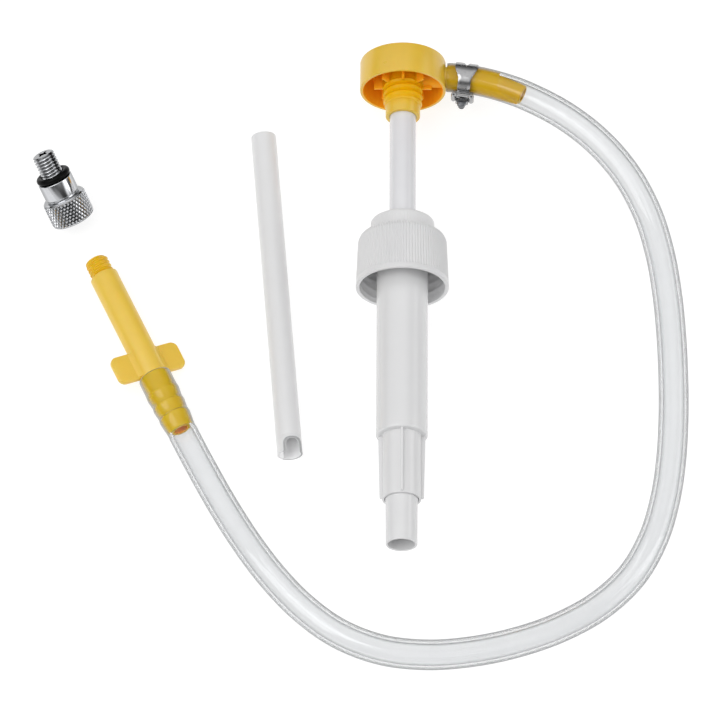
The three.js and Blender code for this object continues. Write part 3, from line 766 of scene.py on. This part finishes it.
# ------------------------------------------------------------------ pump head
def build_head():
    cup = lathe(
        "head_shell",
        rounded([(0, 240.7), (18.1, 240.7, 0.9), (18.1, 228, 0.35), (19.6, 228, 0.35),
                 (19.6, 242.7, 0.7), (0, 242.7)], closed=False),
        192, PUMP, closed=False)
    outline = rounded([(0, 214.2), (7.87, 214.2, 0.5), (7.87, 219.7, 0.25), (8.4, 220.1, 0.1), (8.4, 241.6), (0, 241.6)],
                      closed=False)
    outline = dense(outline, 220.2, 231.5, 0.22, closed=False)
    boss = lathe("boss", outline, 128, PUMP, closed=False,
                 change=helix(3.4, 0.62, 220.2, 231.0, 1.2, base=8.4, sharp=1.7, phase=0.3))
    ribs = []
    for i in range(8):
        turn = PUMP @ Matrix.Rotation(TAU * i / 8, 4, "Y")
        ribs.append(block("rib", (7.2, 229.0, -0.6), (13.2, 241.6, 0.6), turn, 0.25, 2))
    wall = np.array(PUMP.inverted() @ Vector(at(0.0) * MM)) * 1000
    lead = [np.array([x, 235.2, 0.0]) for x in (6.0, 10.0, 14.0)]
    lead = [np.array((PUMP @ Vector(q * MM)) * 1000) for q in lead]
    run = np.concatenate([[0.0], np.arange(1.0, 36.3, 0.9), [36.5]])
    ease = np.clip((run - 23.5) / 13.0, 0, 1)
    reach = at(run) - np.array([0.0, 1.0, 0.0]) * (0.56 * ease)[:, None]
    line = np.concatenate([lead, reach])
    radius = np.concatenate([np.full(3, 4.6), 4.93 - 0.53 * ease])
    radius[-1] -= 0.3
    spout = sweep("spout", line, radius, None, 64)
    core_line = np.concatenate([lead, at(np.arange(0.0, 38.0, 0.9))])
    core = sweep("core", core_line, 3.3, None, 40)
    socket = lathe("socket", [(0, 213), (6.15, 213), (6.15, 222.3), (0, 222.3)], 96, PUMP, closed=False)
    chamber = lathe("chamber", [(0, 222), (3.6, 222), (3.6, 238.4), (0, 238.4)], 64, PUMP, closed=False)
    combine(cup, [boss] + ribs + [spout], "UNION", 30)
    combine(cup, [socket, chamber, core], "DIFFERENCE", 30)
    return done(cup, yellow_head, "plunger", "head", "pump_head")


build_head()

# ------------------------------------------------------------------ stem and piston
done(
    lathe("stem_rod", rounded([(4.0, 129.7, 0.2), (6.0, 129.7, 0.5), (6.0, 222.0, 0.3), (2.0, 222.0, 0.1),
                               (2.0, 220.4), (4.0, 218.8)]), 96, PUMP),
    white_stem, "plunger", "stem", "plunger_stem")
done(
    lathe("piston_body", rounded([(6.12, 130, 0.2), (9.6, 130, 0.3), (10.1, 130.6, 0.3), (10.1, 134, 0.15),
                                  (8.3, 134, 0.2), (8.3, 140, 0.2), (10.1, 140, 0.15), (10.1, 144.9, 0.3),
                                  (9.6, 145.5, 0.3), (6.12, 145.5, 0.2)]), 96, PUMP),
    white_piston, "plunger", "piston", "piston")
done(
    lathe("piston_lip", rounded([(8.42, 134.3, 0.2), (9.9, 134.3, 0.3), (10.25, 139.1, 0.1), (9.95, 139.6, 0.15),
                                 (9.45, 136.6, 0.25), (9.15, 136.6, 0.25), (8.95, 139.6, 0.15),
                                 (8.42, 139.6, 0.15)]), 96, PUMP),
    seal_grey, "seal_ring", "seal", "piston_cup")


def ball(name, radius, s, node, body):
    arc = [(0, s - radius)]
    arc += [(radius * math.sin(math.pi * k / 32), s - radius * math.cos(math.pi * k / 32)) for k in range(1, 32)]
    arc += [(0, s + radius)]
    return done(lathe(name, arc, 64, PUMP, closed=False), ball_steel, body, "balls", node)


ball("upper_ball", 2.8, 224.26, "discharge_ball", "discharge_valve")
ball("lower_ball", 3.2, 28.62, "inlet_ball", "inlet_valve")


# ------------------------------------------------------------------ barrel and foot
def build_barrel():
    tube = lathe(
        "barrel_body",
        dense(rounded([(7.6, 21.6, 0.15), (8.65, 21.6, 0.35), (8.65, 52.3, 0.3), (11.5, 52.3, 0.9), (11.5, 147.9, 0.5),
                 (17.8, 147.9, 0.3), (17.8, 149.3, 0.3), (11.9, 149.3, 0.4), (11.9, 157, 0.4), (10.5, 157, 0.3),
                 (10.5, 54.2, 0.5), (7.6, 54.2, 0.4)]), 54.4, 147, 3.0), 144, PUMP)
    fins = []
    for i in range(4):
        turn = PUMP @ Matrix.Rotation(TAU * i / 4, 4, "Y")
        fins.append(slab("fin", [(8.2, 22.2), (9.45, 22.2), (9.75, 22.6), (10.45, 51.6), (10.45, 52.6), (8.2, 52.6)],
                         -0.6, 0.6, turn, 0.22, 30, 2))
    combine(tube, fins, "UNION", 30)
    return done(tube, white_barrel, "barrel", "barrel", "pump_barrel")


build_barrel()
done(
    lathe("foot_socket", rounded([(5.95, 0, 0.35), (6.95, 0, 0.35), (7.1, 20.9, 0.1), (7.3, 21.3, 0.1), (7.3, 34.6, 0.3),
                                  (4.6, 34.6, 0.2), (4.6, 27.2, 0.3), (2.2, 26, 0.2), (2.2, 24.6, 0.2),
                                  (4.2, 23.4, 0.3), (4.2, 20, 0.2), (5.95, 20, 0.3)]), 112, PUMP),
    white_barrel, "barrel", "barrel", "foot_valve")


def build_cage():
    disc = lathe("cage_disc", rounded([(1.5, 35.2, 0.3), (7.2, 35.2, 0.3), (7.2, 38, 0.3), (1.5, 38, 0.3)]), 96, PUMP)
    holes = []
    for i in range(4):
        turn = PUMP @ Matrix.Rotation(TAU * i / 4 + math.pi / 4, 4, "Y") @ Matrix.Translation((0.0045, 0, 0))
        holes.append(lathe("hole", [(0, 33), (1.4, 33), (1.4, 40), (0, 40)], 32, turn, closed=False))
    combine(disc, holes, "DIFFERENCE", 30)
    return done(disc, white_piston, "barrel", "barrel", "ball_cage")


build_cage()


def collar_ribs(psi, r, s):
    wave = 0.5 + 0.5 * np.cos(72 * psi)
    zone = np.clip((s - 152.0) / 0.5, 0, 1) * np.clip((158.6 - s) / 0.5, 0, 1)
    return np.where(r > 14.2, r - 0.10 * wave * zone, r)


done(
    lathe("snap_collar",
          dense(rounded([(12.2, 151.4, 0.1), (14.4, 151.4, 0.2), (14.4, 159.6, 0.9), (9.6, 159.6, 0.5), (9.6, 148.1, 0.3),
                         (6.2, 148.1, 0.2), (6.2, 146.3, 0.2), (10.2, 146.3, 0.2), (10.2, 157.3), (12.2, 157.3)]),
                151.6, 158.8, 0.8),
          432, PUMP, change=collar_ribs),
    white_cap, "barrel", "barrel", "lock_collar")


# ------------------------------------------------------------------ bottle cap
def build_cap():
    def inside(s):
        return 19.2 - 0.6 * (s - 126.5) / 23

    line = [(12.3, 151.1, 0.3), (19.2, 151.1, 1.1), (20.0, 149.0, 0.4), (20.95, 126.5, 0.35), (inside(126.5), 126.5, 0.35)]
    line += [(18.6, 149.6, 0.8), (12.3, 149.6, 0.2)]
    profile = dense(rounded(line), 127.0, 150.8, 0.45)

    def change(psi, r, s):
        ribs = 0.5 + 0.5 * np.cos(96 * psi)
        zone = np.clip((s - 128.9) / 0.45, 0, 1) * np.clip((150.7 - s) / 0.5, 0, 1)
        outside = r > 19.45 - 0.0 * s
        out = r - np.where(outside & (s > 128.5), 0.36 * (1 - ribs) ** 1.2 * zone, 0)
        wave = 0.5 + 0.5 * np.cos(TAU * (s / 4.2 - psi / TAU))
        span = np.clip((s - 127.8) / 1.2, 0, 1) * np.clip((143.5 - s) / 1.5, 0, 1)
        bore = (r <= 19.25) & (r > 18.4) & (s < 149.0)
        return out - np.where(bore, 0.24 * wave**2.0 * span, 0)

    cap = lathe("bottle_cap", profile, 96 * 8, PUMP, change=change, smooth=40)
    return done(cap, white_cap, "closure", "closure", "screw_cap")


build_cap()
done(
    lathe("cap_seal", rounded([(12.0, 146.2, 0.3), (17.8, 146.2, 0.3), (17.8, 147.6, 0.3), (12.0, 147.6, 0.3)]), 96, PUMP),
    seal_grey, "barrel", "seal", "cap_gasket")


# ------------------------------------------------------------------ return spring
def build_spring():
    turns, dead, wire, r, pitch = 7.5, 0.8, 0.6, 8.8, 1.35
    s0, s1 = 54.2 + 0.3 + wire, 130 - 0.3 - wire
    n = np.linspace(0, turns, 7 * 48 + 25)
    run, b = dead * pitch, turns - dead
    s = np.where(n < dead, s0 + n * pitch,
                 np.where(n > b, s1 - (turns - n) * pitch,
                          s0 + run + (n - dead) / (b - dead) * (s1 - s0 - 2 * run)))
    pts = np.stack([r * np.cos(TAU * n), s, r * np.sin(TAU * n)], axis=-1)
    coil = sweep("coil_spring", pts, wire, None, 14, PUMP)
    done(coil, spring_steel, "barrel", "spring", "return_spring")
    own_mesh(coil)


build_spring()


# ------------------------------------------------------------------ hose clamp
def cyl(phi, r, x):
    """Clamp frame: phi is 0 up and grows towards the far side, away from the foot."""
    q = math.radians(phi)
    return (x, -r * math.sin(q), r * math.cos(q))


def strap_half(phi):
    keys = ((-180, 2.85), (-110, 2.85), (-28, 2.95), (-12, 3.65), (-2, 4.35), (10, 4.95), (20, 5.15), (120, 5.15), (150, 3.6), (180, 2.85))
    for (a, wa), (b, wb) in zip(keys, keys[1:]):
        if a <= phi <= b:
            t = (phi - a) / (b - a)
            t = t * t * (3 - 2 * t)
            return wa + (wb - wa) * t
    return 2.85


def build_strap():
    r0, r1 = 6.62, 7.3
    cols = 180
    verts, faces = [], []
    lanes = [-1, -0.93, -0.5, 0, 0.5, 0.93, 1]
    for j in range(cols):
        phi = -180 + 360 * j / cols
        h = strap_half(phi)
        for r, trim in ((r1, 0.0), (r0, 0.0)):
            xs = [l * h for l in lanes]
            if r == r1:
                for k, x in enumerate(xs):
                    rr = r - (0.12 if k in (0, len(xs) - 1) else 0)
                    verts.append(cyl(phi, rr, x))
            else:
                for x in reversed(xs):
                    verts.append(cyl(phi, r, x))
    n = 2 * len(lanes)
    for j in range(cols):
        j2 = (j + 1) % cols
        for k in range(n):
            k2 = (k + 1) % n
            faces.append((j * n + k, j * n + k2, j2 * n + k2, j2 * n + k))
    strap = to_object("clamp_strap", verts, faces, CLAMP, 40)
    # V-shaped window on the far side
    cv, cf = [], []
    path = [(20, 0.0), (42, 0.85), (64, 1.6), (87, 0.8), (110, 0.0)]
    ring = [(p, w) for p, w in path] + [(p, -w) for p, w in reversed(path[1:-1])]
    for r in (6.2, 8.2):
        cv += [cyl(p, r, w) for p, w in ring]
    m = len(ring)
    cf = [tuple(range(m - 1, -1, -1)), tuple(range(m, 2 * m))]
    cf += [(k, (k + 1) % m, m + (k + 1) % m, m + k) for k in range(m)]
    window = to_object("window", cv, cf, CLAMP)
    combine(strap, [window], "DIFFERENCE", 40)
    return done(strap, band_steel, "plunger", "clamp", "clamp_band")


build_strap()


def build_saddle():
    # bent saddle plate under the strap's overlap, two curled ears and the cross bar
    verts, faces = [], []
    arc = [math.radians(-140 + 56 * k / 12) for k in range(13)]
    n = len(arc)
    for x in (-4.6, -4.3, 4.3, 4.6):
        edge = 0.12 if abs(x) > 4.5 else 0
        for q in arc:
            verts.append((x, -(8.05 - edge) * math.sin(q), (8.05 - edge) * math.cos(q)))
        for q in reversed(arc):
            verts.append((x, -(7.42 + edge) * math.sin(q), (7.42 + edge) * math.cos(q)))
    m, rows = 2 * n, 4
    for i in range(rows - 1):
        for k in range(m):
            k2 = (k + 1) % m
            faces.append((i * m + k, i * m + k2, (i + 1) * m + k2, (i + 1) * m + k))
    faces.append(tuple(range(m)))
    faces.append(tuple(range((rows - 1) * m, rows * m)))
    base = to_object("clamp_saddle", verts, faces, CLAMP)
    parts = []
    for side in (-1, 1):
        # curled ear: a tube with an open eye, axis up
        eye = Matrix.Translation((side * 4.0 * MM, 9.75 * MM, 0)) @ Matrix.Rotation(math.radians(90), 4, "X")
        parts.append(
            lathe("ear", rounded([(0.45, -2.7, 0.08), (1.3, -2.7, 0.3), (1.3, 1.9, 0.35), (0.45, 1.9, 0.08)]), 40,
                  CLAMP @ eye))
        parts.append(block("web", (side * 4.0 - 0.75, 7.75, -2.3), (side * 4.0 + 0.75, 9.1, 0.6), CLAMP, 0.2, 2))
    combine(base, parts, "UNION", 35)
    bar = block("bar", (-4.2, 9.0, -0.6), (4.2, 10.15, 1.25), CLAMP, 0.4, 3)
    yoke = block("yoke", (-2.9, 9.4, -2.6), (2.9, 12.2, -1.4), CLAMP, 0.3, 2)
    gap = lathe("gap", [(0, -8), (1.7, -8), (1.7, -1.2), (2.2, -1.1), (2.2, 8), (0, 8)], 40,
                CLAMP @ Matrix.Translation((0, 12.8 * MM, 0)) @ Matrix.Rotation(math.radians(90), 4, "X"), closed=False)
    combine(base, [bar, yoke], "UNION", 35)
    combine(base, [gap], "DIFFERENCE", 35)
    return done(base, band_steel, "plunger", "clamp", "clamp_housing")


build_saddle()


def build_bolt():
    stand = CLAMP @ Matrix.Translation((0, 12.8 * MM, 0)) @ Matrix.Rotation(math.radians(90), 4, "X")
    # local Y of this frame points up
    line = rounded([(0, -3.4), (1.3, -3.4, 0.3), (1.35, -0.9, 0.05), (2.1, -0.8, 0.2), (2.1, 1.0, 0.5), (0, 1.5)], closed=False)
    line = dense(line, -3.2, -1.0, 0.1, closed=False)
    bolt = lathe("clamp_bolt", line, 64, stand, closed=False, change=helix(0.8, 0.22, -3.3, -0.9, 0.4, base=1.33))
    slot = block("slot", (-4, 0.75, -0.35), (4, 4, 0.35), stand)
    combine(bolt, [slot], "DIFFERENCE", 35)
    return done(bolt, screw_steel, "worm_screw", "clamp_screw", "clamp_screw")


build_bolt()


# ------------------------------------------------------------------ metal fill fitting
def build_fitting():
    line = rounded(
        [(1.6, 34.2, 0.1), (4.15, 34.2, 0.1), (4.75, 33.6, 0.1), (4.75, 21.2, 0.1), (8.05, 21.2, 0.35), (8.05, 13.4, 0.25),
         (7.5, 13.2, 0.1), (7.5, 12.35, 0.1), (9.2, 12.2, 0.15), (9.9, 11.5, 0.15), (9.9, 0.55, 0.15), (9.35, 0, 0.15),
         (5.6, 0, 0.3), (5.6, 9.5, 0.2), (1.6, 9.5, 0.2)])
    line = dense(line, 21.4, 34.0, 0.17)
    line = dense(line, 0.6, 11.4, 0.17)
    thread = helix(1.5, 0.72, 21.6, 34.3, 0.8, base=4.75, sharp=1.1)

    def change(psi, r, s):
        out = thread(psi, r, s) - np.where((np.abs(r - 4.75) < 0.05) & (s > 21.5), 0.35, 0)
        k = 36
        cell = 2 * math.pi * 9.9 / k
        lead = s * math.tan(math.radians(30)) / cell * TAU
        u = ((k * psi + lead) / TAU) % 1.0
        v = ((k * psi - lead) / TAU) % 1.0
        groove = np.minimum(np.minimum(u, 1 - u), np.minimum(v, 1 - v)) * 2
        zone = (np.abs(r - 9.9) < 0.02) & (s > 0.5) & (s < 11.6)
        edge = np.clip((s - 0.5) / 0.5, 0, 1) * np.clip((11.55 - s) / 0.5, 0, 1)
        peak = np.clip(groove * 1.35, 0, 1)
        return out + np.where(zone, (-0.42 + 0.62 * peak) * edge, 0)

    body = lathe("fitting_metal", line, 36 * 14, FITTING, change=change, smooth=50)
    turn = FITTING @ Matrix.Rotation(math.radians(30), 4, "Y")
    slot = block("slot", (-0.55, 25.5, 3.75), (0.55, 36, 7.0), turn, 0.12, 2)
    cross_a = block("cross", (-0.62, 33.0, -2.5), (0.62, 36, 2.5), turn)
    cross_b = block("cross", (-2.5, 33.0, -0.62), (2.5, 36, 0.62), turn)
    combine(body, [slot, cross_a, cross_b], "DIFFERENCE", 50)
    done(body, chrome, "fill_fitting", "fitting", "fitting_body")
    ring = [(6.55 + 1.5 * math.cos(q), 22.85 + 1.5 * math.sin(q)) for q in (TAU * k / 28 for k in range(28))]
    done(lathe("fitting_ring", ring, 96, FITTING), black_rubber, "fill_fitting", "o_ring", "fitting_o_ring")
    done(lathe("fitting_seal", rounded([(3.0, 8.0, 0.25), (5.2, 8.0, 0.25), (5.2, 9.2, 0.25), (3.0, 9.2, 0.25)]), 72, FITTING),
         black_rubber, "fill_fitting", "o_ring", "fitting_washer")


build_fitting()


# ------------------------------------------------------------------ dip tube
def build_dip():
    tube = lathe("suction_tube", dense(rounded([(4.7, 0, 0.02), (5.7, 0, 0.02), (5.7, 161.1, 0.25), (4.7, 161.1, 0.25)]), 0, 161, 3.0), 128, DIP)
    # scooped end: level with the axis, then curving out
    deep, flat, reach = 3.5, 3.4, 6.7
    edge = [(-1, deep), (flat, deep)]
    for k in range(1, 17):
        t = math.pi / 2 * k / 16
        edge.append((flat + (reach - flat) * math.sin(t), deep + (6.0 - deep) * (1 - math.cos(t))))
    edge += [(reach, 9.7), (-1, 9.7)]
    turn = DIP @ Matrix.Rotation(math.radians(22), 4, "Y")
    side = Matrix(((0, 0, 1, 0), (1, 0, 0, 0), (0, 1, 0, 0), (0, 0, 0, 1)))
    scoop = slab("scoop", edge, -8, 8, turn @ side)
    # a thin web closes the side of the bore beside the scoop
    web = [(4.95 * math.sin(q), 4.95 * math.cos(q)) for q in (math.radians(-146 + 110 * k / 16) for k in range(17))]
    web = slab("web", web, 0.02, 1.1, DIP @ Matrix(((1, 0, 0, 0), (0, 0, 1, 0), (0, 1, 0, 0), (0, 0, 0, 1))))
    combine(tube, [web], "UNION", 30)
    combine(tube, [scoop], "DIFFERENCE", 30)
    return done(tube, white_tube, "dip_tube", "dip_tube", "dip_tube")


build_dip()


# ------------------------------------------------------------------ floor, world, lights
def build_floor():
    mesh = bpy.data.meshes.new("floor")
    s = 4.0
    mesh.from_pydata([(-s, -s, 0), (s, -s, 0), (s, s, 0), (-s, s, 0)], [], [(0, 1, 2, 3)])
    floor = bpy.data.objects.new("floor", mesh)
    bpy.context.scene.collection.objects.link(floor)
    mat = bpy.data.materials.new("pale_floor")
    mat.use_nodes = True
    t = mat.node_tree
    b = t.nodes["Principled BSDF"]
    b.inputs["Base Color"].default_value = (0.30, 0.30, 0.30, 1)
    b.inputs["Roughness"].default_value = 0.9
    b.inputs["Specular IOR Level"].default_value = 0.0
    b.inputs["Emission Color"].default_value = (1, 1, 1, 1)
    b.inputs["Emission Strength"].default_value = 0.80
    mesh.materials.append(mat)


build_floor()


def build_world():
    world = bpy.data.worlds.new("studio")
    bpy.context.scene.world = world
    world.use_nodes = True
    t = world.node_tree
    t.nodes.clear()
    out = t.nodes.new("ShaderNodeOutputWorld")
    bg = t.nodes.new("ShaderNodeBackground")
    t.links.new(bg.outputs[0], out.inputs[0])
    coord = t.nodes.new("ShaderNodeTexCoord").outputs["Generated"]
    sep = t.nodes.new("ShaderNodeSeparateXYZ")
    t.links.new(coord, sep.inputs[0])

    def ramp(value, stops):
        n = t.nodes.new("ShaderNodeValToRGB")
        r = n.color_ramp
        while len(r.elements) > 1:
            r.elements.remove(r.elements[-1])
        for k, (pos, val) in enumerate(stops):
            e = r.elements[0] if k == 0 else r.elements.new(pos)
            e.position = pos
            e.color = (val, val, val, 1)
        t.links.new(value, n.inputs[0])
        return n.outputs[0]

    def mul(a, b):
        n = t.nodes.new("ShaderNodeMath")
        n.operation = "MULTIPLY"
        t.links.new(a, n.inputs[0])
        if isinstance(b, (int, float)):
            n.inputs[1].default_value = b
        else:
            t.links.new(b, n.inputs[1])
        return n.outputs[0]

    def half(axis):
        n = t.nodes.new("ShaderNodeMapRange")
        t.links.new(sep.outputs[axis], n.inputs[0])
        n.inputs["From Min"].default_value = -1
        n.inputs["From Max"].default_value = 1
        return n.outputs[0]

    def larger(a, b):
        n = t.nodes.new("ShaderNodeMath")
        n.operation = "MAXIMUM"
        t.links.new(a, n.inputs[0])
        t.links.new(b, n.inputs[1])
        return n.outputs[0]

    # a big soft box overhead with a darker gap on its right and a strip beyond the gap
    side = ramp(half("X"), [(0.0, 0.42), (0.05, 0.7), (0.09, 1.05), (0.15, 1.15), (0.22, 1.2), (0.60, 1.35), (0.70, 0.70), (0.78, 0.28),
                            (0.84, 0.34), (0.91, 2.2), (0.96, 2.0), (1.0, 0.25)])
    # the dark side of the room behind the viewer, above a pale low wall
    front = ramp(half("Y"), [(0.0, 0.45), (0.03, 0.35), (0.07, 0.10), (0.13, 0.22), (0.20, 0.8), (0.28, 1.0), (1.0, 1.0)])
    low = ramp(sep.outputs["Z"], [(0.0, 1.0), (0.16, 0.9), (0.28, 0.35), (0.36, 0.0), (0.60, 0.0), (0.75, 1.0)])
    # the room darkens towards the horizon, except in front
    height = ramp(sep.outputs["Z"], [(0.0, 0.10), (0.12, 0.16), (0.25, 0.48), (0.40, 0.95), (0.6, 1.0)])
    # and on the far side behind the parts
    back = ramp(half("Y"), [(0.0, 1.0), (0.75, 1.0), (0.80, 0.78), (0.87, 0.40), (0.95, 0.16), (1.0, 0.10)])
    near = ramp(half("Y"), [(0.0, 0.9), (0.12, 0.9), (0.25, 0.0), (1.0, 0.0)])
    t.links.new(mul(mul(mul(mul(side, back), larger(height, near)), larger(front, low)), 0.82), bg.inputs["Strength"])
    bg.inputs["Color"].default_value = (1.0, 1.0, 1.0, 1)


build_world()


def area(name, place, aim, size, power):
    data = bpy.data.lights.new(name, "AREA")
    data.shape = "RECTANGLE"
    data.size, data.size_y = size
    data.energy = power
    obj = bpy.data.objects.new(name, data)
    obj.location = place
    obj.rotation_euler = (Vector(aim) - Vector(place)).to_track_quat("-Z", "Y").to_euler()
    bpy.context.scene.collection.objects.link(obj)
    return obj


area("key", (-0.9, -0.5, 1.5), (0.03, 0, 0), (0.9, 1.4), 9)
area("fill", (1.3, -0.2, 0.9), (0.05, 0, 0), (0.4, 1.4), 3)

bpy.context.scene.view_settings.view_transform = "Standard"
bpy.context.scene.view_settings.look = "None"
bpy.context.scene.view_settings.exposure = 0
bpy.context.scene.view_settings.gamma = 1
